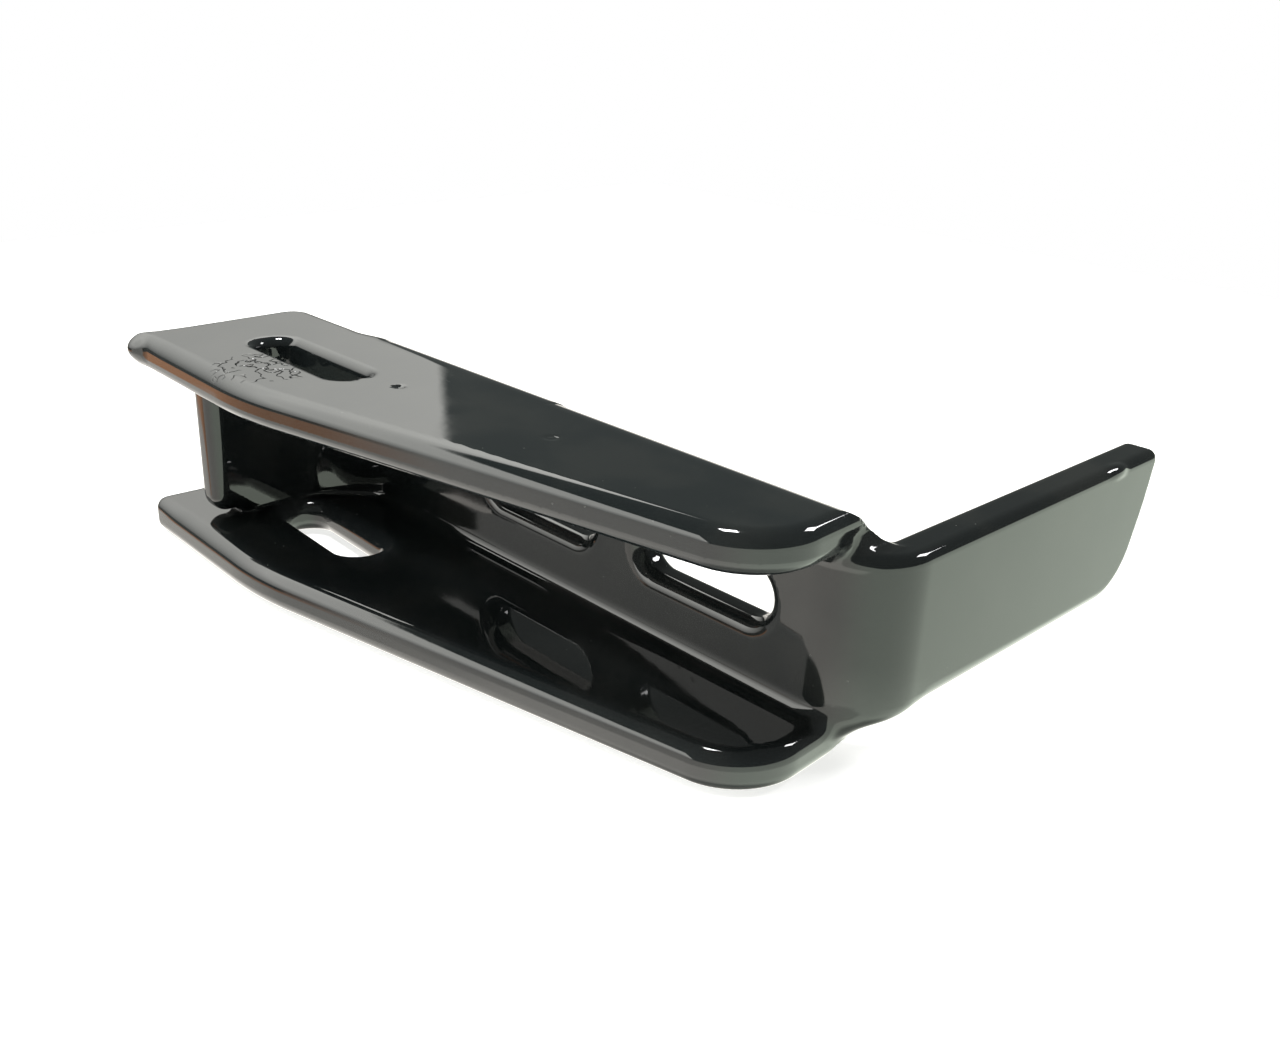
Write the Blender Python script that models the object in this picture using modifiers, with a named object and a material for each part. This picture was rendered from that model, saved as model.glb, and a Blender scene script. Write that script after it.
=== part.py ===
"""Ladder stabilizer bracket: a welded steel bracket, dipped in a thick black coat.

A flat bar is bent twice in plan: its left end turns forward as a stop tab, its middle is the web
with two long slots, and its right end turns back as a plain hook arm. Two slotted flange plates
lie over and under the bar, and weld runs join them to it. Every size includes the coat.

Frame: X along the web towards the arm, Y back, Z up. The origin is under the middle of the whole
bracket, on the plane that the lower flange lies on. Sizes below are drawn from a corner: along
from the left ends of the flanges, and back from the web's front face, which DRAWN_FROM moves there.
"""
import math

import bmesh
import bpy
from mathutils import Matrix, Vector

MM = 0.001

# Driving dimensions, in millimetres.
HEIGHT = 41.8                 # over both flanges
PLATE = 6.9                   # coated thickness of the flanges
BAR = 7.2                     # coated thickness of the bar
GAP = 0.3                     # between pieces that touch
EDGE = 0.42 * PLATE           # rounding of every plate edge
OUTER = 9.9                   # outer radius of the long back corners

DRAWN_FROM = (76.66, 23.04)   # middle of the outside box: along, and back

# Plan of a flange.
LENGTH = 148.9                # front left corner to the front right corner
LEFT_RAKE = 1.5               # the left end runs out by that much towards the back
LEFT_DEPTH = 37.2             # front edge in front of the web, at the left end
KNEE = (43.9, 38.6)           # where the front edge starts to taper: along, and in front
RIGHT_DEPTH = 17.7            # the same at the front right corner
RIGHT_RAKE = 1.4              # the right end is that much shorter at the web
BACK_LAP = 0.6                # the flange laps over the bar by this much
LOWER_TIP = 4.0               # radius of the front left corner of each flange
UPPER_TIP = 3.0
BACK_LEFT_CORNER = 5.6        # radii of the other corners
KNEE_CORNER = 30.0
FRONT_RIGHT_CORNER = 11.3
BACK_RIGHT_CORNER = 3.2

# Plan of the bar.
TAB_FACE = 12.8               # outer face of the tab
TAB_REACH = 32.8              # its front edge in front of the web
TAB_BEND = 2.1 * BAR          # inner bend radius
ARM_FACE = 154.6              # outer face of the arm
ARM_REACH = 85.4              # its far end behind the web's front face
ARM_BEND = 0.75 * BAR         # inner bend radius

# Side view of the bar.
TAB_RELIEF = 0.9              # extra clearance under the tab's front
TAB_CORNER = 3.4
RELIEF_CORNER = 20.0          # where that clearance starts, behind the tab's front
ARM_TOP_CORNER = 4.0
ARM_LOW_CORNER = 10.0
ARM_SLANT = 5.2               # the arm's end leans in by this much towards the bottom

# Slots.
SLOT_LENGTH = 29.0
SLOT_WIDTH = 8.8
FLANGE_SLOT = (35.8, -17.1)   # centre of the slot in each flange
FLANGE_SLOT_TURN = -2.5       # degrees, with the flanges' front edge
WEB_SLOTS = (79.6, 120.0)     # centres of the two slots along the web
WEB_SLOT_LEVEL = 22.4

# Weld runs.
BACK_RUNS = ((23.0, 83.6), (84.2, 144.0))
CORNER_RUN = (38.0, 143.0)
CORNER_LEG = 2.2
TAB_RUN = (-21.5, -16.5)
TAB_LEG = 1.6
END_LEG = 4.4
END_INSET = 0.9               # the end runs stop short of the bar's outer face

SPARE = 4.0                   # cut away by the side view of the bar
BAR_LOW = PLATE + GAP
BAR_TOP = HEIGHT - BAR_LOW
COLOUR = {
    "bar": (0.016, 0.019, 0.018),
    "flange": (0.020, 0.023, 0.022),
    "weld": (0.030, 0.032, 0.030),
}


def clear_scene():
    for obj in list(bpy.data.objects):
        bpy.data.objects.remove(obj, do_unlink=True)


def collection(name):
    group = bpy.data.collections.new(name)
    bpy.context.scene.collection.children.link(group)
    return group


def material(name, kind):
    mat = bpy.data.materials.new(name)
    mat.use_nodes = True
    shader = mat.node_tree.nodes["Principled BSDF"]
    shader.inputs["Base Color"].default_value = (*COLOUR[kind], 1.0)
    shader.inputs["Roughness"].default_value = 0.12
    shader.inputs["Metallic"].default_value = 0.0
    return mat


def rounded(corners, step=15.0):
    """Outline through (x, y, radius) corners, with an arc of that radius at each."""
    points = []
    count = len(corners)
    for i, (x, y, radius) in enumerate(corners):
        here = Vector((x, y))
        back = (Vector(corners[i - 1][:2]) - here).normalized()
        ahead = (Vector(corners[(i + 1) % count][:2]) - here).normalized()
        half = 0.5 * back.angle(ahead)
        turn = math.pi - 2.0 * half
        if radius <= 0.0 or turn < 1e-3:
            points.append(here)
            continue
        start = here + back * radius / math.tan(half)
        centre = here + (back + ahead).normalized() * radius / math.sin(half)
        spoke = start - centre
        sign = 1.0 if back.x * ahead.y - back.y * ahead.x < 0.0 else -1.0
        pieces = max(2, round(math.degrees(turn) / step))
        for k in range(pieces + 1):
            arm = spoke.copy()
            arm.rotate(Matrix.Rotation(sign * turn * k / pieces, 2))
            points.append(centre + arm)
    return points


def arc(centre, radius, start, end, step=12.0):
    """Points on an arc; angles in degrees, anticlockwise from the first axis."""
    pieces = max(2, round(abs(end - start) / step))
    angles = [math.radians(start + (end - start) * k / pieces) for k in range(pieces + 1)]
    return [Vector((centre[0] + radius * math.cos(a), centre[1] + radius * math.sin(a))) for a in angles]


def prism(name, outline, low, high, axis, group):
    """Closed prism of a flat outline. The outline lies in XY, YZ or XZ and runs along `axis`."""
    curve = bpy.data.curves.new(name, "CURVE")
    curve.dimensions = "2D"
    curve.fill_mode = "BOTH"
    curve.extrude = 0.5 * (high - low) * MM
    spline = curve.splines.new("POLY")
    spline.points.add(len(outline) - 1)
    for point, place in zip(spline.points, outline):
        point.co = (place[0] * MM, place[1] * MM, 0.0, 1.0)
    spline.use_cyclic_u = True
    flat = bpy.data.objects.new(name + "_outline", curve)
    group.objects.link(flat)
    middle = 0.5 * (low + high) * MM
    turns = {
        "Z": Matrix.Translation((0.0, 0.0, middle)),
        "X": Matrix.Translation((middle, 0.0, 0.0)) @ Matrix(((0, 0, 1), (1, 0, 0), (0, 1, 0))).to_4x4(),
        "Y": Matrix.Translation((0.0, middle, 0.0)) @ Matrix(((1, 0, 0), (0, 0, -1), (0, 1, 0))).to_4x4(),
    }
    flat.matrix_world = turns[axis]
    bpy.context.view_layer.update()
    evaluated = flat.evaluated_get(bpy.context.evaluated_depsgraph_get())
    mesh = bpy.data.meshes.new_from_object(evaluated)
    mesh.transform(flat.matrix_world)
    bpy.data.objects.remove(flat, do_unlink=True)
    bm = bmesh.new()
    bm.from_mesh(mesh)
    bmesh.ops.remove_doubles(bm, verts=bm.verts, dist=1e-6)
    bmesh.ops.dissolve_limit(bm, angle_limit=0.01, verts=bm.verts, edges=bm.edges)
    bmesh.ops.recalc_face_normals(bm, faces=bm.faces)
    bm.to_mesh(mesh)
    bm.free()
    mesh.name = name
    obj = bpy.data.objects.new(name, mesh)
    obj.location = (-DRAWN_FROM[0] * MM, -DRAWN_FROM[1] * MM, 0.0)
    group.objects.link(obj)
    return obj


def cut(obj, cutter, operation="DIFFERENCE"):
    cutter.hide_render = True
    cutter.display_type = "WIRE"
    boolean = obj.modifiers.new(cutter.name, "BOOLEAN")
    boolean.object = cutter
    boolean.operation = operation
    boolean.solver = "EXACT"


def soften(obj, width, segments=3):
    bevel = obj.modifiers.new("rounded edges", "BEVEL")
    bevel.width = width * MM
    bevel.segments = segments
    bevel.limit_method = "ANGLE"
    bevel.angle_limit = math.radians(40.0)
    bevel.use_clamp_overlap = False
    obj.data.shade_smooth()


def finish(obj, kind):
    obj.data.materials.clear()
    obj.data.materials.append(material(obj.name + "_coat", kind))
    return obj


def slot_outline(x, y, turn=0.0):
    half = 0.5 * SLOT_LENGTH
    side = 0.5 * SLOT_WIDTH
    spin = Matrix.Rotation(math.radians(turn), 2)
    corners = [spin @ Vector(c) for c in ((-half, -side), (half, -side), (half, side), (-half, side))]
    return rounded([(x + corner.x, y + corner.y, side - 0.01) for corner in corners])


def flange(name, low, tip_radius, parts, tools):
    corners = [
        (-LEFT_RAKE, BACK_LAP, BACK_LEFT_CORNER),
        (0.0, -LEFT_DEPTH, tip_radius),
        (KNEE[0], -KNEE[1], KNEE_CORNER),
        (LENGTH, -RIGHT_DEPTH, FRONT_RIGHT_CORNER),
        (LENGTH - RIGHT_RAKE, BACK_LAP, BACK_RIGHT_CORNER),
    ]
    plate = prism(name, rounded(corners), low, low + PLATE, "Z", parts)
    soften(plate, EDGE)
    opening = slot_outline(*FLANGE_SLOT, FLANGE_SLOT_TURN)
    slot = prism(name + "_slot_tool", opening, low - 2.0, low + PLATE + 2.0, "Z", tools)
    cut(plate, slot)
    return finish(plate, "flange")


def bar_plan():
    """Outline of the bent bar seen from above, anticlockwise from the tab's outer front corner."""
    tab_inner = TAB_FACE + BAR
    arm_inner = ARM_FACE - BAR
    tab_centre = (tab_inner + TAB_BEND, -TAB_BEND)
    arm_centre = (arm_inner - ARM_BEND, BAR + ARM_BEND)
    outline = [Vector((TAB_FACE, -TAB_REACH - SPARE)), Vector((tab_inner, -TAB_REACH - SPARE))]
    outline += arc(tab_centre, TAB_BEND, 180.0, 90.0)
    outline += arc(arm_centre, ARM_BEND + BAR, -90.0, 0.0)
    outline += [Vector((ARM_FACE, ARM_REACH + SPARE)), Vector((arm_inner, ARM_REACH + SPARE))]
    outline += arc(arm_centre, ARM_BEND, 0.0, -90.0)
    outline += arc(tab_centre, TAB_BEND + BAR, 90.0, 180.0)
    return outline


def bar(parts, tools):
    strap = prism("bent_bar", bar_plan(), BAR_LOW - SPARE, BAR_TOP + SPARE, "Z", parts)
    side = rounded([
        (-TAB_REACH, BAR_LOW + TAB_RELIEF, TAB_CORNER),
        (-0.6 * TAB_REACH, BAR_LOW, RELIEF_CORNER),
        (ARM_REACH - ARM_SLANT, BAR_LOW, ARM_LOW_CORNER),
        (ARM_REACH, BAR_TOP, ARM_TOP_CORNER),
        (-0.6 * TAB_REACH, BAR_TOP, RELIEF_CORNER),
        (-TAB_REACH, BAR_TOP - TAB_RELIEF, TAB_CORNER),
    ])
    cut(strap, prism("bar_side_tool", side, -20.0, ARM_FACE + 20.0, "X", tools), "INTERSECT")
    soften(strap, EDGE)
    for i, x in enumerate(WEB_SLOTS):
        tool = prism(f"web_slot_tool_{i + 1}", slot_outline(x, WEB_SLOT_LEVEL), -6.0, BAR + 6.0, "Y", tools)
        cut(strap, tool)
    return finish(strap, "bar")


def mirrored(outline, side):
    """The outline as drawn for the upper flange, or turned over about mid height for the lower."""
    if side > 0:
        return outline
    return [Vector((point[0], HEIGHT - point[1])) for point in reversed(outline)]


def back_welds(name, side, parts):
    """Corner runs that fill the step between the bar's edge and the flange's back edge."""
    centre = (BAR - OUTER, HEIGHT - OUTER)
    floor = BAR_TOP + GAP
    inner = BACK_LAP + GAP
    low_angle = math.degrees(math.asin((floor - centre[1]) / OUTER))
    high_angle = math.degrees(math.acos((inner - centre[0]) / OUTER))
    section = [Vector((inner, floor))] + arc(centre, OUTER, low_angle, high_angle, 9.0)
    for i, (start, end) in enumerate(BACK_RUNS):
        run = prism(f"{name}_{i + 1}", mirrored(section, side), start, end, "X", parts)
        soften(run, 0.25 * CORNER_LEG, 1)
        finish(run, "weld")


def corner_weld(name, side, parts):
    """Fillet run in the inner corner of web and flange."""
    top = HEIGHT - PLATE - GAP
    front = -GAP
    section = [Vector((front, top)), Vector((front - CORNER_LEG, top))]
    section += arc((front - CORNER_LEG, top - CORNER_LEG), CORNER_LEG, 75.0, 15.0, 20.0)
    section += [Vector((front, top - CORNER_LEG))]
    run = prism(name, mirrored(section, side), *CORNER_RUN, "X", parts)
    finish(run, "weld")


def tab_weld(name, side, parts):
    """Short fillet run where the tab's inner face meets the flange."""
    top = HEIGHT - PLATE - GAP
    face = TAB_FACE + BAR + GAP
    section = [Vector((face, top)), Vector((face, top - TAB_LEG))]
    section += arc((face + TAB_LEG, top - TAB_LEG), TAB_LEG, 165.0, 105.0, 20.0)
    section += [Vector((face + TAB_LEG, top))]
    run = prism(name, mirrored(section, side), *TAB_RUN, "Y", parts)
    finish(run, "weld")


def end_weld(name, side, parts):
    """Run that carries the flange's right end down onto the bar's edge, before the arm's bend."""
    foot = BAR_TOP + GAP
    start = LENGTH - RIGHT_RAKE + GAP
    rise = 0.55 * PLATE
    section = [Vector((start, foot)), Vector((start + END_LEG, foot))]
    section += arc((start + END_LEG, foot + rise), rise, -100.0, -165.0, 16.0)
    section += [Vector((start, foot + rise))]
    run = prism(name, mirrored(section, side), BACK_LAP + GAP, BAR - END_INSET, "Y", parts)
    finish(run, "weld")


def main():
    clear_scene()
    parts = collection("ladder_stabilizer")
    tools = collection("cutters")
    bar(parts, tools)
    flange("lower_flange", 0.0, LOWER_TIP, parts, tools)
    flange("upper_flange", HEIGHT - PLATE, UPPER_TIP, parts, tools)
    for where, side in (("upper", 1), ("lower", -1)):
        back_welds(f"weld_back_{where}", side, parts)
        corner_weld(f"weld_corner_{where}", side, parts)
        tab_weld(f"weld_tab_{where}", side, parts)
        end_weld(f"weld_end_{where}", side, parts)


main()
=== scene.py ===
"""Ladder stabilizer bracket: the dipped coat over the welded frame, its studio and its camera.

The coat is one continuous surface, so its shape is a distance field: plates and the bent bar with
rounded edges, joined by fillets. A surface net of that field is drawn onto it, and then cut where
one welded piece meets the next, so each CAD node gets the part of the surface that lies over it.
"""
import math

import bmesh
import bpy
import numpy as np
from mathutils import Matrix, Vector

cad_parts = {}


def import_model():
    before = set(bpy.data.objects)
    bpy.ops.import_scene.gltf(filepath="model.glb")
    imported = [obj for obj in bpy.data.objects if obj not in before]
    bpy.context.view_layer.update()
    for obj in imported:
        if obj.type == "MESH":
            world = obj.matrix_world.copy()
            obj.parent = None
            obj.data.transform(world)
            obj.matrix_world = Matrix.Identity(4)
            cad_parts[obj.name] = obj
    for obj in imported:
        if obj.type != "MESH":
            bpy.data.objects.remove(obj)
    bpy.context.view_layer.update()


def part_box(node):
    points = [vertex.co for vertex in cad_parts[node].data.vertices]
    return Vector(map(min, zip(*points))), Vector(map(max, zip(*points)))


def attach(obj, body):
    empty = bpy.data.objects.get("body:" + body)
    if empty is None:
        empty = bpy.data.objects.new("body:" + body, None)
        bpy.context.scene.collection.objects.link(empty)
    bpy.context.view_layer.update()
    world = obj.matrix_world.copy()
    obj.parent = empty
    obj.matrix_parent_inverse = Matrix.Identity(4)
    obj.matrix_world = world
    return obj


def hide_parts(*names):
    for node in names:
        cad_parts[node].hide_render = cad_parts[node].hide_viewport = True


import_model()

# Sizes in millimetres, as in the CAD: x along from the flanges' left ends, y back from the web's
# front face, z up from the underside.
HEIGHT = 41.8
MID = 0.5 * HEIGHT
PLATE = 6.9                   # thickness of a flange
BAR = 7.2                     # thickness of the bent bar
TAB_SIDE = 60.0               # left of this, the bar is taken to belong to the tab

# the flanges' outline
LENGTH = 148.9
LEFT_DEPTH = 37.2
RIGHT_DEPTH = 17.7
KNEE = (43.9, -38.6)          # where the front edge starts to taper
KNEE_BLEND = 2.0
LEFT_RAKE = 1.5               # how far the left edge stands out at the back
LEFT_LEAN = 0.3               # and at the front
RIGHT_RAKE = 1.4
BACK_LAP = 0.6                # how far the plates reach behind the web's front face
FRONT_RIGHT_CORNER = 11.3
BACK_LEFT_CORNER = 5.6
UPPER_TIP = 1.2               # front left corner of the upper flange
LOWER_TIP = 2.6               # and of the lower one

# rounding of the edges
EDGE = 2.9                    # a plate's upper edges, and the bar's edges
UNDER_EDGE = 2.3              # a plate's lower edges
TIP_EDGE = 2.2                # a plate's edges at the front left corner
TIP_EDGE_REACH = (1.0, 12.0)  # and how far from that corner the change to the others runs
ARM_EDGE = 1.9                # the arm's upper edges
ARM_LOW_EDGE = 3.3            # and its lower edges
ARM_EDGE_CHANGE = (MID + 6.0, MID - 8.0)     # heights between which the one becomes the other
OUTER = 9.9                   # the channel's long back corners

# slots: centre, size, turn in degrees and rounding of the rim
UPPER_SLOT = ((35.4, -18.9), (33.0, 8.0), 0.0, 1.9)
LOWER_SLOT = ((36.2, -16.8), (29.0, 8.8), -2.5, 2.9)
WEB_SLOT_SIZE = (29.0, 8.8)
WEB_SLOTS = (79.6, 120.0)
WEB_SLOT_LEVEL = 22.4

# the bent bar
TAB_FACE = 12.8
TAB_REACH = 32.8
TAB_BEND = 15.12
TAB_RELIEF = 0.9              # gap between the tab and the lower flange
TAB_JOIN = (4.5, 9.0)         # where that gap closes, from the tab's front edge
TAB_CORNERS = (0.4, 3.4)      # upper and lower corner of the tab's front edge
ARM_FACE = 154.6
ARM_BEND = 5.4
ARM_REACH = 85.4
ARM_SLANT = 5.2
ARM_LOW = 7.15                # the arm's lower edge; its upper edge is as far below the top
ARM_CORNERS = (2.2, 10.0)     # upper and lower corner of the arm's end
ARM_END_SPARE = 0.6           # how far the coat reaches past the end of the arm's reach
ARM_NARROWS = (-0.5, 4.0)     # where its upper edge steps down, from the start of the bend
ARM_RISES = 6.0               # its lower edge has come up this far past the end of the bend
BAR_LAP = 2.5                 # how far the web reaches into each flange

# weld runs
BACK_RUN_START = 19.0
BACK_RUN_GROWS = 12.0         # length over which a run reaches its full size
CORNER_GROWS = (1.0, 15.0)    # where the long back corner becomes round, from the run's start
RUN_BREAK = 83.5
BREAK_WIDTH = 0.5
RUN_PROUD = 0.45              # what the run takes off the long corner's rounding at x = RUN_PROUD_FROM
RUN_PROUD_FROM = 30.0
RUN_PROUD_SLOPE = 0.009       # more of it for each millimetre to the right
BREAK_STEP = 0.75             # and less of it past the break
FILLET = 0.3                  # size of the inner corners' fillet at the tab's front edge
# what is added to it, and from where to where, along the bar from the start of that stretch
FILLET_STEPS = ((0.9, "tab", 5.0, 10.0), (1.8, "web", 20.0, 40.0), (2.2, "arm", 3.0, 7.0))

# marks in the coat
TAIL = ((49.0, -19.6), (55.0, -18.6), (60.0, -16.4))     # a run of paint beside the upper slot
TAIL_HEIGHT = 0.28
TAIL_WIDTH = 1.0
PIT = (60.6, -16.2)           # the pit at its end
PIT_DEPTH = 0.70
PIT_WIDTH = 0.8
RINGS = (                     # rings in the coat of the upper flange: centre, radius, height
    (29.0, -27.8, 1.9, 0.10), (33.6, -28.9, 1.4, 0.12), (38.6, -28.6, 2.1, 0.10),
    (43.4, -29.8, 1.5, 0.12), (47.6, -28.2, 1.0, 0.08), (25.4, -30.2, 1.2, 0.07),
    (98.0, -12.5, 0.7, -0.12), (112.5, -10.0, 0.6, 0.12),
)
RING_WIDTH = 0.6
MARKS_FADE = (0.0, 2.5)       # marks fade in over these heights above mid plate
TIP_DRIP = (0.6, -36.5, 0.3)  # drip at the upper flange's front left tip; height is from mid plate
TIP_DRIP_RADIUS = 2.1
TIP_DRIP_SQUASH = 1.3         # it is flatter than a ball by this factor
TIP_DRIP_BLEND = 3.5
ARM_DRIP = (-0.9, 70.2, 33.6)  # drip that set on the arm; x is from the arm's outer face
ARM_DRIP_RADIUS = 1.15
ARM_DRIP_STRETCH = 2.4        # and this one is longer
ARM_DRIP_BLEND = 0.8
WRINKLES = (36.5, -28.6, 41.8)     # middle of the wrinkled patch

CELL = 0.7                    # spacing of the surface net
MARGIN = 2.0                  # and how far it reaches past the coat

low_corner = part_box("bent_bar")[0]
ORIGIN = Vector((low_corner.x - TAB_FACE * 0.001, low_corner.y + TAB_REACH * 0.001, 0.0))


def to_frame(x, y, z):
    """A place in the shared frame, in metres, from one in the sizes above."""
    return ORIGIN + Vector((x, y, z)) * 0.001


# ---------------------------------------------------------------- distance fields

def smoothstep(low, high, x):
    t = np.clip((x - low) / (high - low), 0.0, 1.0)
    return t * t * (3.0 - 2.0 * t)


def smooth_min(a, b, k):
    h = np.maximum(k - np.abs(a - b), 0.0) / k
    return np.minimum(a, b) - h * h * k * 0.25


def smooth_max(a, b, k):
    return -smooth_min(-a, -b, k)


def round_corner(a, b, radius):
    """Outer corner of two distances, each negative inside, about square to each other."""
    u = np.maximum(a + radius, 0.0)
    v = np.maximum(b + radius, 0.0)
    return np.where((u > 0.0) & (v > 0.0), np.hypot(u, v) - radius, np.maximum(a, b))


def half_plane(x, y, a, b):
    """Distance to the line from a to b, positive on its right."""
    ex, ey = b[0] - a[0], b[1] - a[1]
    return ((x - a[0]) * ey - (y - a[1]) * ex) / math.hypot(ex, ey)


def slot(x, y, centre, size, tilt=0.0):
    """Distance to a slot with round ends, negative inside; the tilt is in degrees."""
    length, width = size
    c, t = math.cos(math.radians(tilt)), math.sin(math.radians(tilt))
    dx, dy = x - centre[0], y - centre[1]
    along = np.maximum(np.abs(dx * c + dy * t) - 0.5 * (length - width), 0.0)
    return np.hypot(along, dy * c - dx * t) - 0.5 * width


def segment(x, y, a, b):
    """Distance in plan from the segment between a and b."""
    ex, ey = b[0] - a[0], b[1] - a[1]
    t = np.clip(((x - a[0]) * ex + (y - a[1]) * ey) / (ex * ex + ey * ey), 0.0, 1.0)
    return np.hypot(x - a[0] - t * ex, y - a[1] - t * ey)


def back_line(x, y, n):
    """How far the weld run has grown, the distance past the channel's back, and the rounding there."""
    run = smoothstep(BACK_RUN_START, BACK_RUN_START + BACK_RUN_GROWS, x)
    step = smoothstep(RUN_BREAK - BREAK_WIDTH, RUN_BREAK + BREAK_WIDTH, x)
    proud = RUN_PROUD + RUN_PROUD_SLOPE * (x - RUN_PROUD_FROM) - BREAK_STEP * step
    outside = np.where(x < TAB_SIDE, n - 0.5 * BAR, y - BAR)
    back = (1.0 - run) * (y - BACK_LAP) + run * outside
    turned = smoothstep(BACK_RUN_START + CORNER_GROWS[0], BACK_RUN_START + CORNER_GROWS[1], x)
    return run, back, EDGE + (OUTER - proud - EDGE) * turned


def paint_marks(x, y):
    """Thickness that drips, rings and pits add to the coat on top of the upper flange."""
    tail = np.minimum(segment(x, y, TAIL[0], TAIL[1]), segment(x, y, TAIL[1], TAIL[2]))
    added = TAIL_HEIGHT * np.exp(-(tail / TAIL_WIDTH) ** 2)
    added -= PIT_DEPTH * np.exp(-(np.hypot(x - PIT[0], y - PIT[1]) / PIT_WIDTH) ** 2)
    for cx, cy, ring, height in RINGS:
        added += height * np.exp(-((np.hypot(x - cx, y - cy) - ring) / RING_WIDTH) ** 2)
    return added


def tip_drip(x, y, off):
    """Paint that gathered at the front left tip; off is the height from mid plate."""
    dx, dy, dz = x - TIP_DRIP[0], y - TIP_DRIP[1], TIP_DRIP_SQUASH * (off - TIP_DRIP[2])
    return np.sqrt(dx ** 2 + dy ** 2 + dz ** 2) - TIP_DRIP_RADIUS


def flange_field(x, y, z, n, level, tip, opening):
    """One flange plate, from z = level to level + PLATE. Only the upper one has paint marks."""
    upper = level > 0.0
    end_front = (LENGTH, -RIGHT_DEPTH)
    end_back = (LENGTH - RIGHT_RAKE, BAR)
    left = half_plane(x, y, (-LEFT_RAKE, BACK_LAP), (-LEFT_LEAN, -LEFT_DEPTH))
    front = half_plane(x, y, (0.0, -LEFT_DEPTH), KNEE)
    taper = half_plane(x, y, KNEE, end_front)
    right = half_plane(x, y, end_front, end_back)
    plan = smooth_max(front, taper, KNEE_BLEND)
    plan = round_corner(plan, left, tip)
    plan = round_corner(plan, right, FRONT_RIGHT_CORNER)
    run, back, radius = back_line(x, y, n)
    bare = round_corner(plan, y - BACK_LAP, BACK_LEFT_CORNER)
    plan = (1.0 - run) * bare + run * np.maximum(plan, back)
    off = z - level - 0.5 * PLATE
    thick = np.abs(off) - 0.5 * PLATE
    if upper:
        thick = thick - paint_marks(x, y) * smoothstep(*MARKS_FADE, off)
    away = smoothstep(*TIP_EDGE_REACH, np.hypot(x, y + LEFT_DEPTH))
    edge = TIP_EDGE + (np.where(off > 0.0, EDGE, UNDER_EDGE) - TIP_EDGE) * away
    plate = round_corner(plan, thick, edge)
    centre, size, turn, rounding = opening
    plate = np.maximum(plate, round_corner(-slot(x, y, centre, size, turn), thick, rounding))
    if upper:
        plate = smooth_min(plate, tip_drip(x, y, off), TIP_DRIP_BLEND)
    return np.maximum(plate, round_corner(back, np.abs(z - MID) - MID, radius))


def bar_path(x, y):
    """Distance along the bar's middle line, and off it, positive towards its outer side."""
    half = 0.5 * BAR
    tab_r = TAB_BEND + half
    arm_r = ARM_BEND + half
    tab_x, tab_y = TAB_FACE + BAR + TAB_BEND, -TAB_BEND
    arm_x, arm_y = ARM_FACE - BAR - ARM_BEND, BAR + ARM_BEND
    s = x.copy()
    n = y - half
    bend = (x < tab_x) & (y > tab_y)
    s = np.where(bend, tab_x - tab_r * np.arctan2(tab_x - x, y - tab_y), s)
    n = np.where(bend, np.hypot(x - tab_x, y - tab_y) - tab_r, n)
    tab = (x < TAB_FACE + 2.0 * BAR) & (y <= tab_y)
    s = np.where(tab, tab_x - tab_r * 0.5 * math.pi + (y - tab_y), s)
    n = np.where(tab, (TAB_FACE + half) - x, n)
    bend = (x > arm_x) & (y < arm_y)
    s = np.where(bend, arm_x + arm_r * np.arctan2(x - arm_x, arm_y - y), s)
    n = np.where(bend, arm_r - np.hypot(x - arm_x, y - arm_y), n)
    arm = (x > ARM_FACE - 2.0 * BAR) & (y >= arm_y)
    s = np.where(arm, arm_x + arm_r * 0.5 * math.pi + (y - arm_y), s)
    n = np.where(arm, (ARM_FACE - half) - x, n)
    return s, n


def path_marks():
    """Distance along the bar of the tab's front edge, both ends of the arm's bend, the arm's end."""
    half = 0.5 * BAR
    tab_x = TAB_FACE + BAR + TAB_BEND
    tab_front = tab_x - (TAB_BEND + half) * 0.5 * math.pi - (TAB_REACH - TAB_BEND)
    bend_start = ARM_FACE - BAR - ARM_BEND
    bend_end = bend_start + (ARM_BEND + half) * 0.5 * math.pi
    return tab_front, bend_start, bend_end, bend_end + ARM_REACH + ARM_END_SPARE - BAR - ARM_BEND


def arm_drip(x, y, z):
    """The drip on the arm's outer face, drawn out along the arm."""
    dx, dy, dz = x - ARM_FACE - ARM_DRIP[0], (y - ARM_DRIP[1]) / ARM_DRIP_STRETCH, z - ARM_DRIP[2]
    return np.sqrt(dy ** 2 + dx ** 2 + dz ** 2) - ARM_DRIP_RADIUS


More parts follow.
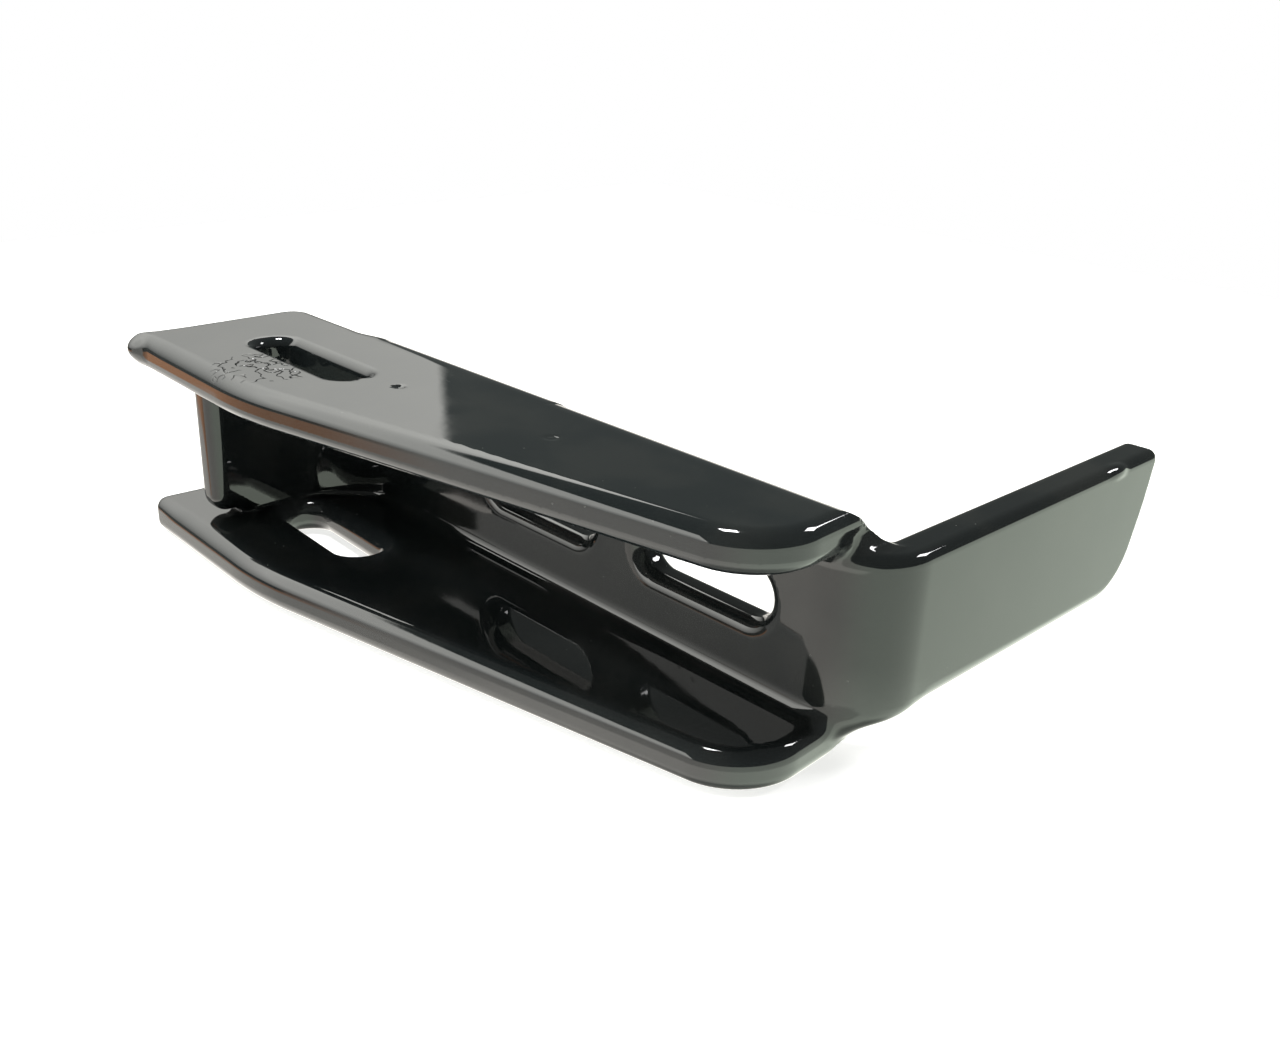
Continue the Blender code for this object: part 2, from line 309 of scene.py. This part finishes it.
def bar_field(x, y, z):
    """The bent bar: into the flanges along the web, clear of the lower one at the tab."""
    s, n = bar_path(x, y)
    tab_front, bend_start, bend_end, arm_end = path_marks()
    joined = smoothstep(tab_front + TAB_JOIN[0], tab_front + TAB_JOIN[1], s)
    arm = smoothstep(bend_start + ARM_NARROWS[0], bend_start + ARM_NARROWS[1], s)
    # how far the bar's lower and upper edges lie from mid height
    low = MID - PLATE - TAB_RELIEF + (TAB_RELIEF + BAR_LAP) * joined
    low = low + (MID - ARM_LOW - low) * smoothstep(bend_start, bend_end + ARM_RISES, s)
    high = MID - PLATE + BAR_LAP
    high = high + (MID - ARM_LOW - high) * arm
    tall = np.where(z > MID, z - MID - high, MID - z - low)
    slant = ARM_SLANT / (HEIGHT - 2.0 * ARM_LOW)
    end = (s - arm_end + (HEIGHT - ARM_LOW - z) * slant) / math.hypot(1.0, slant)
    arm_blank = round_corner(tall, end, np.where(z > MID, *ARM_CORNERS))
    tab_blank = round_corner(tall, tab_front - s, np.where(z > MID, *TAB_CORNERS))
    blank = np.where(s < TAB_SIDE, tab_blank, arm_blank)
    for centre in WEB_SLOTS:
        blank = np.maximum(blank, -slot(s, z, (centre, WEB_SLOT_LEVEL), WEB_SLOT_SIZE))
    arm_edge = ARM_EDGE + (ARM_LOW_EDGE - ARM_EDGE) * smoothstep(*ARM_EDGE_CHANGE, z)
    edge = EDGE + (arm_edge - EDGE) * arm
    body = round_corner(blank, np.abs(n) - 0.5 * BAR, edge)
    run, back, radius = back_line(x, y, n)
    outer = round_corner(n - 0.5 * BAR, np.abs(z - MID) - MID, radius + (edge - radius) * arm)
    return smooth_min(np.maximum(body, outer), arm_drip(x, y, z), ARM_DRIP_BLEND), s, n


def coat_field(p):
    """Distance from the coat's surface at points p, an array of x, y, z in millimetres."""
    x, y, z = p[..., 0], p[..., 1], p[..., 2]
    body, s, n = bar_field(x, y, z)
    upper = flange_field(x, y, z, n, HEIGHT - PLATE, UPPER_TIP, UPPER_SLOT)
    lower = flange_field(x, y, z, n, 0.0, LOWER_TIP, LOWER_SLOT)
    tab_front, bend_start, bend_end, arm_end = path_marks()
    starts = {"tab": tab_front, "web": 0.0, "arm": bend_start}
    fillet = FILLET
    for size, place, first, last in FILLET_STEPS:
        fillet = fillet + size * smoothstep(starts[place] + first, starts[place] + last, s)
    return smooth_min(body, np.minimum(upper, lower), fillet)


# ---------------------------------------------------------------- surface net

def gradient(p, step=0.02):
    g = np.empty_like(p)
    for axis in range(3):
        d = np.zeros(3)
        d[axis] = step
        g[..., axis] = coat_field(p + d) - coat_field(p - d)
    return g / (2.0 * step)


def settle(p, rounds=4, longest=0.4, least=0.05):
    """Moves points along the field's gradient onto the surface."""
    for _ in range(rounds):
        g = gradient(p)
        length = np.maximum((g * g).sum(-1), least)
        move = coat_field(p) / length
        p = p - np.clip(move, -longest, longest)[..., None] * g
    return p


def sample_field(low, counts):
    """The field's value at each point of a grid, worked out in slabs to save memory."""
    axes = [low[i] + CELL * np.arange(counts[i]) for i in range(3)]
    field = np.empty(counts, np.float32)
    slab = 32
    for start in range(0, counts[0], slab):
        xs = axes[0][start:start + slab]
        grid = np.stack(np.meshgrid(xs, axes[1], axes[2], indexing="ij"), -1)
        field[start:start + slab] = coat_field(grid)
    return field


def surface_net():
    """One point in each grid cell that the surface passes, and a quad across each crossed edge."""
    low = np.array([-MARGIN, KNEE[1] - MARGIN, -MARGIN])
    high = np.array([ARM_FACE + MARGIN, ARM_REACH + MARGIN, HEIGHT + MARGIN])
    counts = np.ceil((high - low) / CELL).astype(int)
    inside = sample_field(low, counts) < 0.0
    corners = [inside[i:counts[0] - 1 + i, j:counts[1] - 1 + j, k:counts[2] - 1 + k]
               for i in (0, 1) for j in (0, 1) for k in (0, 1)]
    total = sum(c.astype(np.int8) for c in corners)
    active = (total > 0) & (total < 8)
    number = -np.ones(active.shape, np.int64)
    number[active] = np.arange(active.sum())
    points = low + CELL * (np.argwhere(active) + 0.5)
    quads = []
    for axis in range(3):
        a = [slice(None)] * 3
        b = [slice(None)] * 3
        a[axis] = slice(0, -1)
        b[axis] = slice(1, None)
        cross = inside[tuple(a)] != inside[tuple(b)]
        where = np.argwhere(cross)
        others = [i for i in range(3) if i != axis]
        keep = np.all(where[:, others] > 0, axis=1)
        keep &= np.all(where[:, others] < np.array(active.shape)[others], axis=1)
        where = where[keep]
        outward = inside[tuple(where.T)]
        ring = []
        for du, dv in ((1, 1), (0, 1), (0, 0), (1, 0)):
            cell = where.copy()
            cell[:, others[0]] -= du
            cell[:, others[1]] -= dv
            ring.append(number[tuple(cell.T)])
        quad = np.stack(ring, 1)
        flip = outward if axis != 1 else ~outward
        quad[~flip] = quad[~flip][:, ::-1]
        quads.append(quad)
    return settle(points), np.concatenate(quads)


def relax(points, quads, rounds=3):
    """Evens out the net along the surface."""
    edges = np.concatenate([quads[:, [0, 1]], quads[:, [1, 2]], quads[:, [2, 3]], quads[:, [3, 0]]])
    count = np.bincount(edges.ravel(), minlength=len(points)).astype(float)
    for _ in range(rounds):
        total = np.zeros_like(points)
        for axis in range(3):
            total[:, axis] += np.bincount(edges[:, 0], points[edges[:, 1], axis], len(points))
            total[:, axis] += np.bincount(edges[:, 1], points[edges[:, 0], axis], len(points))
        points = settle(points + 0.5 * (total / count[:, None] - points), 2)
    return settle(points)


def mesh_from(name, points, faces):
    mesh = bpy.data.meshes.new(name)
    mesh.from_pydata(points.tolist(), [], faces.tolist())
    mesh.update()
    return mesh


# ---------------------------------------------------------------- materials

class Sums:
    """Small helper that makes and chains shader nodes in one node tree."""

    def __init__(self, tree):
        self.nodes, self.links = tree.nodes, tree.links

    def fill(self, socket, value):
        if isinstance(value, bpy.types.NodeSocket):
            self.links.new(value, socket)
        elif value is not None:
            socket.default_value = value

    def put(self, kind, *values, **settings):
        node = self.nodes.new(kind)
        for key, value in settings.items():
            setattr(node, key, value)
        for socket, value in zip(node.inputs, values):
            self.fill(socket, value)
        return node.outputs[0]

    def math(self, operation, *values):
        return self.put("ShaderNodeMath", *values, operation=operation)

    def ramp(self, value, low, high, start=0.0, end=1.0):
        return self.put("ShaderNodeMapRange", value, low, high, start, end, interpolation_type="SMOOTHSTEP")

    def mix(self, factor, a, b):
        node = self.nodes.new("ShaderNodeMix")
        node.data_type = "RGBA"
        for socket, value in ((node.inputs[0], factor), (node.inputs[6], a), (node.inputs[7], b)):
            self.fill(socket, value)
        return node.outputs[2]

    def bump(self, height, strength, distance, below=None, inward=False):
        node = self.nodes.new("ShaderNodeBump")
        node.inputs["Strength"].default_value = strength
        node.inputs["Distance"].default_value = distance
        node.invert = inward
        self.fill(node.inputs["Height"], height)
        self.fill(node.inputs["Normal"], below)
        return node.outputs["Normal"]


COATS = {                     # dark and light base colour, roughness range, how lumpy
    "bar": ((0.0085, 0.0105, 0.0105), (0.0150, 0.0165, 0.0155), (0.020, 0.075), 0.055),
    "flange": ((0.0110, 0.0140, 0.0145), (0.0170, 0.0195, 0.0190), (0.015, 0.065), 0.060),
    "weld": ((0.0080, 0.0100, 0.0100), (0.0140, 0.0155, 0.0150), (0.030, 0.090), 0.085),
}
COAT_IOR = 1.6
PATCHES = {                   # scale and detail of the noise, and where its effect starts and is full
    "mottle": (70.0, 4.0, 0.40, 0.66),
    "dusty": (45.0, 2.0, 0.56, 0.62),
    "hair": (240.0, 2.0, 0.70, 0.74),
    "scratched": (38.0, 2.0, 0.58, 0.66),
    "wrinkled": (150.0, 1.0, 0.47, 0.52),
}
WAVES = {                     # scale and detail of the noise that is used as it is
    "swell": (120.0, 3.0),
    "peel": (900.0, 2.0),
    "curl": (330.0, 1.0),
}
PEEL_HEIGHT = 0.05            # against the swell
HAIR_DEPTH = 0.12
HAIR_ROUGHNESS = 0.20
HAIR_TURN = (0.0, 0.0, 0.5)
HAIR_STRETCH = (1.0, 14.0, 1.0)
LUMP_HEIGHT = 0.0002          # metres, as are the next heights and reaches
SPECK_SCALE = 420.0
SPECK_RIM = (0.055, 0.035)
SPECK_COLOUR = (0.11, 0.115, 0.105, 1.0)
WRINKLE_LINE = (0.030, 0.002)
WRINKLE_REACH = (0.0105, 0.007)
WRINKLE_DENT = (0.5, 0.0004)
# painted shade along the wrinkles' creases: how strongly it darkens, and the dark colour it mixes in
WRINKLE_SHADE = 0.7
WRINKLE_PAINTED_SHADE_COLOUR = (0.002, 0.002, 0.002, 1.0)


def coat_material(kind, seed):
    """Thick glossy black coat: faint mottling, orange peel, hair scratches, dust specks, and wrinkles whose
    creases get painted shade in the base colour.
    """
    dark, light, (smooth, rough), lumps = COATS[kind]
    mat = bpy.data.materials.new(kind + "_coat_paint")
    mat.use_nodes = True
    sums = Sums(mat.node_tree)
    nodes, links = sums.nodes, sums.links
    shader = nodes["Principled BSDF"]
    shader.inputs["IOR"].default_value = COAT_IOR
    place = nodes.new("ShaderNodeTexCoord").outputs["Object"]
    shift = sums.put("ShaderNodeVectorMath", place, (3.1 * seed, 1.7 * seed, 0.0), operation="ADD")

    def noise(scale, detail, vector=shift):
        return sums.put("ShaderNodeTexNoise", vector, None, scale, detail)

    def patch(name, vector=shift):
        scale, detail, start, full = PATCHES[name]
        return sums.ramp(noise(scale, detail, vector), start, full)

    mottle = patch("mottle")
    specks = sums.ramp(sums.put("ShaderNodeTexVoronoi", shift, None, SPECK_SCALE), *SPECK_RIM)
    specks = sums.math("MULTIPLY", specks, patch("dusty"))
    long_way = sums.put("ShaderNodeMapping", shift, None, HAIR_TURN, HAIR_STRETCH)
    hairs = sums.math("MULTIPLY", patch("hair", long_way), patch("scratched"))
    # wrinkles that the coat drew between the slot and the upper flange's front edge; they dent the surface,
    # and they darken the base colour as painted shade in their creases
    curl = sums.math("ABSOLUTE", sums.math("SUBTRACT", noise(*WAVES["curl"]), 0.5))
    reach = nodes.new("ShaderNodeVectorMath")
    reach.operation = "DISTANCE"
    reach.inputs[1].default_value = to_frame(*WRINKLES)
    links.new(place, reach.inputs[0])
    near = sums.ramp(reach.outputs["Value"], *WRINKLE_REACH)
    wrinkles_and_shade = sums.math("MULTIPLY", sums.ramp(curl, *WRINKLE_LINE), near)
    wrinkles_and_shade = sums.math("MULTIPLY", wrinkles_and_shade, patch("wrinkled"))

    colour = sums.mix(mottle, (*dark, 1.0), (*light, 1.0))
    colour = sums.mix(specks, colour, SPECK_COLOUR)
    # painted shade: the base colour darkens along the wrinkles' creases, where shade would fall
    colour = sums.mix(sums.math("MULTIPLY", wrinkles_and_shade, WRINKLE_SHADE), colour, WRINKLE_PAINTED_SHADE_COLOUR)
    links.new(colour, shader.inputs["Base Color"])
    gloss = sums.math("ADD", smooth, sums.math("MULTIPLY", mottle, rough - smooth))
    gloss = sums.math("ADD", gloss, sums.math("MULTIPLY", hairs, HAIR_ROUGHNESS))
    links.new(gloss, shader.inputs["Roughness"])
    peel = sums.math("MULTIPLY", noise(*WAVES["peel"]), PEEL_HEIGHT)
    height = sums.math("ADD", noise(*WAVES["swell"]), peel)
    height = sums.math("SUBTRACT", height, sums.math("MULTIPLY", hairs, HAIR_DEPTH))
    lumpy = sums.bump(height, lumps, LUMP_HEIGHT)
    links.new(sums.bump(wrinkles_and_shade, *WRINKLE_DENT, lumpy, inward=True), shader.inputs["Normal"])
    return mat


# ---------------------------------------------------------------- pieces

WELD_GAP = 0.15               # half of the gap between pieces that touch in the CAD
CORNER_RUN = ((38.0, 143.0), (-2.8, -0.3))     # inner corner runs: x and y
TAB_RUN = ((19.4, 22.4), (-21.5, -16.5))
INNER_RUN_HEIGHT = 2.6
END_RUN_FRONT = -1.5
BACK_RUN_DEPTH = 20.0         # past the back of every run, as ABOVE is past the top
ABOVE = 5.0
FAR = 400.0                   # past the whole bracket
BURIED = -0.1                 # a face whose middle lies deeper than this is a cut
AGAINST = 0.3                 # least agreement of a face with the field's gradient


def box_cutter(low, high):
    """Closed box between two corners in millimetres, as a mesh object that is deleted later."""
    mesh = bpy.data.meshes.new("cutter")
    bm = bmesh.new()
    bmesh.ops.create_cube(bm, size=1.0)
    low, high = to_frame(*low), to_frame(*high)
    for v in bm.verts:
        v.co = Vector([low[i] + (v.co[i] + 0.5) * (high[i] - low[i]) for i in range(3)])
    bm.to_mesh(mesh)
    bm.free()
    obj = bpy.data.objects.new("cutter", mesh)
    bpy.context.scene.collection.objects.link(obj)
    return obj


def carve(name, skin, keep, leave_out=()):
    """The part of the skin inside box `keep` and outside the boxes `leave_out`, as a closed mesh."""
    obj = bpy.data.objects.new(name, skin)
    bpy.context.scene.collection.objects.link(obj)
    cutters = []
    for operation, corners in [("INTERSECT", keep)] + [("DIFFERENCE", box) for box in leave_out]:
        cutter = box_cutter(*corners)
        cutters.append(cutter)
        boolean = obj.modifiers.new("cut", "BOOLEAN")
        boolean.object = cutter
        boolean.operation = operation
        boolean.solver = "MANIFOLD"
    bpy.context.view_layer.update()
    mesh = bpy.data.meshes.new_from_object(obj.evaluated_get(bpy.context.evaluated_depsgraph_get()))
    bpy.data.objects.remove(obj)
    for cutter in cutters:
        bpy.data.objects.remove(cutter)
    mesh.name = name
    return mesh


def shade(mesh):
    """Normals come from the field, so no seam shows where pieces meet; cut faces stay flat."""
    count = len(mesh.vertices)
    co = np.empty(count * 3)
    mesh.vertices.foreach_get("co", co)
    points = (co.reshape(-1, 3) - np.array(ORIGIN)) * 1000.0
    smooth = gradient(points)
    smooth /= np.maximum(np.linalg.norm(smooth, axis=1), 1e-6)[:, None]
    faces = len(mesh.polygons)
    centre, flat = np.empty(faces * 3), np.empty(faces * 3)
    mesh.polygons.foreach_get("center", centre)
    mesh.polygons.foreach_get("normal", flat)
    flat = flat.reshape(-1, 3)
    deep = coat_field((centre.reshape(-1, 3) - np.array(ORIGIN)) * 1000.0) < BURIED
    totals = np.empty(faces, np.int64)
    mesh.polygons.foreach_get("loop_total", totals)
    corner = np.empty(len(mesh.loops), np.int64)
    mesh.loops.foreach_get("vertex_index", corner)
    owner = np.repeat(np.arange(faces), totals)
    against = (smooth[corner] * flat[owner]).sum(1) < AGAINST
    normals = np.where((deep[owner] | against)[:, None], flat[owner], smooth[corner])
    mesh.shade_smooth()
    mesh.normals_split_custom_set(normals.tolist())


def layer(low, high, side):
    """A height range of the upper side, or the same range turned over for the lower side."""
    return (low, high) if side > 0 else (HEIGHT - high, HEIGHT - low)


def region(x, y, z):
    """The two corners of the box that spans three ranges."""
    return (x[0], y[0], z[0]), (x[1], y[1], z[1])


def piece_plan():
    """Each piece's name and coat, the box that it is cut from, and the boxes it leaves to others."""
    foot = PLATE + WELD_GAP
    end = LENGTH - RIGHT_RAKE + 2.0 * WELD_GAP
    join = BACK_LAP + WELD_GAP
    seam = RUN_BREAK + 2.0 * WELD_GAP
    whole = (-FAR, FAR)
    inner = {}
    sides = []
    for where, side in (("upper", 1), ("lower", -1)):
        over = layer(HEIGHT - foot, HEIGHT + ABOVE, side)
        under = layer(HEIGHT - foot - INNER_RUN_HEIGHT, HEIGHT - foot, side)
        runs = {
            f"weld_back_{where}_1": region((BACK_RUN_START, seam), (join, BACK_RUN_DEPTH), over),
            f"weld_back_{where}_2": region((seam, end), (join, BACK_RUN_DEPTH), over),
            f"weld_end_{where}": region((end, FAR), (END_RUN_FRONT, FAR), over),
        }
        inner[f"weld_corner_{where}"] = region(*CORNER_RUN, under)
        inner[f"weld_tab_{where}"] = region(*TAB_RUN, under)
        sides.append((f"{where}_flange", "flange", region(whole, whole, over), list(runs.values())))
        sides += [(name, "weld", box, ()) for name, box in runs.items()]
    bar = ("bent_bar", "bar", region(whole, whole, (foot, HEIGHT - foot)), list(inner.values()))
    return [bar] + sides + [(name, "weld", box, ()) for name, box in inner.items()]


def build_pieces():
    points, quads = surface_net()
    points = relax(points, quads)
    skin = mesh_from("skin", points * 0.001 + np.array(ORIGIN), quads)
    materials = {kind: coat_material(kind, i) for i, kind in enumerate(COATS)}
    for name, kind, keep, leave_out in piece_plan():
        mesh = carve(name + "_skin", skin, keep, leave_out)
        shade(mesh)
        mesh.materials.clear()
        mesh.materials.append(materials[kind])
        obj = bpy.data.objects.new(name + "_coat", mesh)
        bpy.context.scene.collection.objects.link(obj)
        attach(obj, "root")
        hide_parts(name)


# ---------------------------------------------------------------- studio

TABLE = 0.8
TABLE_LEVEL = -0.0003         # just under the bracket, so that the two faces don't fall together
TABLE_COLOUR = (0.85, 0.85, 0.85, 1.0)
TABLE_ROUGHNESS = 0.9
TABLE_GLOW = ((1.0, 1.0, 0.98, 1.0), 0.75)
CAMERA_PLACE = (243.2, -136.4, 107.7)
CAMERA_TURN = (66.931, -2.368, 46.079)
LENS = 35.47
SENSOR = 36.0
WHITE = (1.0, 1.0, 1.0, 1.0)

# The studio's light by direction: x, y and z are parts of a unit vector, and a pair of numbers
# says where a change starts and where it is complete.
WALL_EDGE = (0.70, 0.685)     # the light wall's right edge, as y over -x
WALL_LEAN = -0.05
WALL_TOP = (1.3, 1.2)         # its upper edge, as z over -x
WALL_SIDE = (0.0, -0.1)       # only on the side of -x
WALL_COLOUR = (1.0, 1.0, 0.95, 1.0)
WALL_CLIMB = 4.0              # it gets brighter upwards,
WALL_SPREAD = (0.2, -1.2, -0.1, 1.5)     # and to the front
WALL_MOST = 4.0
ROOM_COLOUR = (0.12, 0.13, 0.125, 1.0)
HORIZON = (0.0, -0.06)        # from the room to the ground, as z
RIGHT_SIDE = (-0.5, 0.75)     # from the warm left ground to the green right ground
RIGHT_LEAN = 0.4
LEFT_GROUND = (1.0, 0.96, 0.89, 1.0)
RIGHT_GROUND = (0.90, 1.0, 0.85, 1.0)
FRONT_X = (-0.48, -0.60)      # the front left, where the brown band is
FRONT_Y = (0.0, -0.25)
BROWN_BAND = (-0.235, -0.21)  # its lower edge, which drops to the front by BROWN_LEAN
BROWN_LEAN = 0.2
BROWN = (0.95, 0.48, 0.26, 1.0)
DARK_BAND = (-0.24, -0.215)   # its upper edge, under the dark band
DARK = (0.12, 0.12, 0.11, 1.0)
GROUND_LEVEL = 1.35
RIGHT_EXTRA = 0.4
NEAR_EXTRA = (-0.47, -0.52, 0.0, 0.75)   # the ground close by is brighter,
UNDER_FADE = (-0.95, -0.70, 0.25, 1.0)   # and it is dim straight below


def camera():
    data = bpy.data.cameras.new("camera")
    data.sensor_width = SENSOR
    data.sensor_fit = "HORIZONTAL"
    data.lens = LENS
    data.clip_start = 0.01
    obj = bpy.data.objects.new("camera", data)
    bpy.context.scene.collection.objects.link(obj)
    obj.location = to_frame(*CAMERA_PLACE)
    obj.rotation_euler = [math.radians(a) for a in CAMERA_TURN]
    bpy.context.scene.camera = obj


def area_light(name, place, size, power):
    """A square soft light that looks at the bracket's middle."""
    data = bpy.data.lights.new(name, "AREA")
    data.shape = "RECTANGLE"
    data.size, data.size_y = size, size
    data.energy = power
    obj = bpy.data.objects.new(name, data)
    obj.location = place
    obj.rotation_euler = (-Vector(place)).to_track_quat("-Z", "Y").to_euler()
    bpy.context.scene.collection.objects.link(obj)


def floor():
    """A plain pale table. Glossy reflections pass it, and show the world's ground instead."""
    bpy.ops.mesh.primitive_plane_add(size=TABLE, location=(0, 0, TABLE_LEVEL))
    obj = bpy.context.object
    obj.name = "floor"
    mat = bpy.data.materials.new("floor")
    mat.use_nodes = True
    nodes, links = mat.node_tree.nodes, mat.node_tree.links
    shader = nodes["Principled BSDF"]
    shader.inputs["Base Color"].default_value = TABLE_COLOUR
    shader.inputs["Roughness"].default_value = TABLE_ROUGHNESS
    shader.inputs["Emission Color"].default_value = TABLE_GLOW[0]
    shader.inputs["Emission Strength"].default_value = TABLE_GLOW[1]
    path = nodes.new("ShaderNodeLightPath")
    clear = nodes.new("ShaderNodeBsdfTransparent")
    mix = nodes.new("ShaderNodeMixShader")
    links.new(path.outputs["Is Glossy Ray"], mix.inputs[0])
    links.new(shader.outputs[0], mix.inputs[1])
    links.new(clear.outputs[0], mix.inputs[2])
    links.new(mix.outputs[0], nodes["Material Output"].inputs[0])
    obj.data.materials.append(mat)


def room_light(sums, x, y, z):
    """Colour and level above the horizon: a tall wall of light at the left, and dim elsewhere."""
    ahead = sums.math("MAXIMUM", sums.math("MULTIPLY", x, -1.0), 0.001)
    across = sums.math("DIVIDE", y, ahead)
    up = sums.math("DIVIDE", z, ahead)
    edge = sums.math("ADD", across, sums.math("MULTIPLY", up, WALL_LEAN))
    wall = sums.math("MULTIPLY", sums.ramp(edge, *WALL_EDGE), sums.ramp(up, *WALL_TOP))
    wall = sums.math("MULTIPLY", wall, sums.ramp(x, *WALL_SIDE))
    glow = sums.math("ADD", sums.math("MULTIPLY", up, WALL_CLIMB), sums.ramp(across, *WALL_SPREAD))
    glow = sums.math("MINIMUM", glow, WALL_MOST)
    level = sums.math("ADD", 1.0, sums.math("MULTIPLY", wall, sums.math("SUBTRACT", glow, 1.0)))
    return sums.mix(wall, ROOM_COLOUR, WALL_COLOUR), level


def ground_light(sums, x, y, z):
    """Colour and level below the horizon: pale, with a dark and a brown band at the front left."""
    right = sums.ramp(sums.math("ADD", x, sums.math("MULTIPLY", y, RIGHT_LEAN)), *RIGHT_SIDE)
    front = sums.math("MULTIPLY", sums.ramp(x, *FRONT_X), sums.ramp(y, *FRONT_Y))
    slope = sums.math("SUBTRACT", z, sums.math("MULTIPLY", y, BROWN_LEAN))
    brown = sums.math("MULTIPLY", front, sums.ramp(slope, *BROWN_BAND))
    dark = sums.math("MULTIPLY", front, sums.ramp(z, *DARK_BAND))
    colour = sums.mix(right, LEFT_GROUND, RIGHT_GROUND)
    colour = sums.mix(brown, colour, BROWN)
    colour = sums.mix(dark, colour, DARK)
    level = sums.math("ADD", GROUND_LEVEL, sums.math("MULTIPLY", right, RIGHT_EXTRA))
    level = sums.math("ADD", level, sums.ramp(z, *NEAR_EXTRA))
    return colour, sums.math("MULTIPLY", level, sums.ramp(z, *UNDER_FADE))


def world():
    """Light by direction for the coat to reflect, while the camera sees a plain white backdrop."""
    w = bpy.data.worlds.new("world")
    bpy.context.scene.world = w
    w.use_nodes = True
    sums = Sums(w.node_tree)
    place = sums.nodes.new("ShaderNodeTexCoord")
    split = sums.nodes.new("ShaderNodeSeparateXYZ")
    sums.links.new(place.outputs["Generated"], split.inputs[0])
    x, y, z = split.outputs
    room, room_level = room_light(sums, x, y, z)
    ground, ground_level = ground_light(sums, x, y, z)
    low = sums.ramp(z, *HORIZON)
    colour = sums.mix(low, room, ground)
    change = sums.math("SUBTRACT", ground_level, room_level)
    level = sums.math("ADD", room_level, sums.math("MULTIPLY", low, change))
    seen = sums.nodes.new("ShaderNodeLightPath").outputs["Is Camera Ray"]
    change = sums.math("SUBTRACT", 1.0, level)
    level = sums.math("ADD", level, sums.math("MULTIPLY", seen, change))
    back = w.node_tree.nodes["Background"]
    sums.links.new(sums.mix(seen, colour, WHITE), back.inputs["Color"])
    sums.links.new(level, back.inputs["Strength"])


build_pieces()
floor()
world()
area_light("overhead", (-0.12, -0.12, 1.1), 0.22, 9.0)
area_light("window", (0.4, 0.75, 0.75), 0.25, 4.0)
bpy.context.scene.view_settings.view_transform = "Standard"
camera()

bpy.context.view_layer.update()
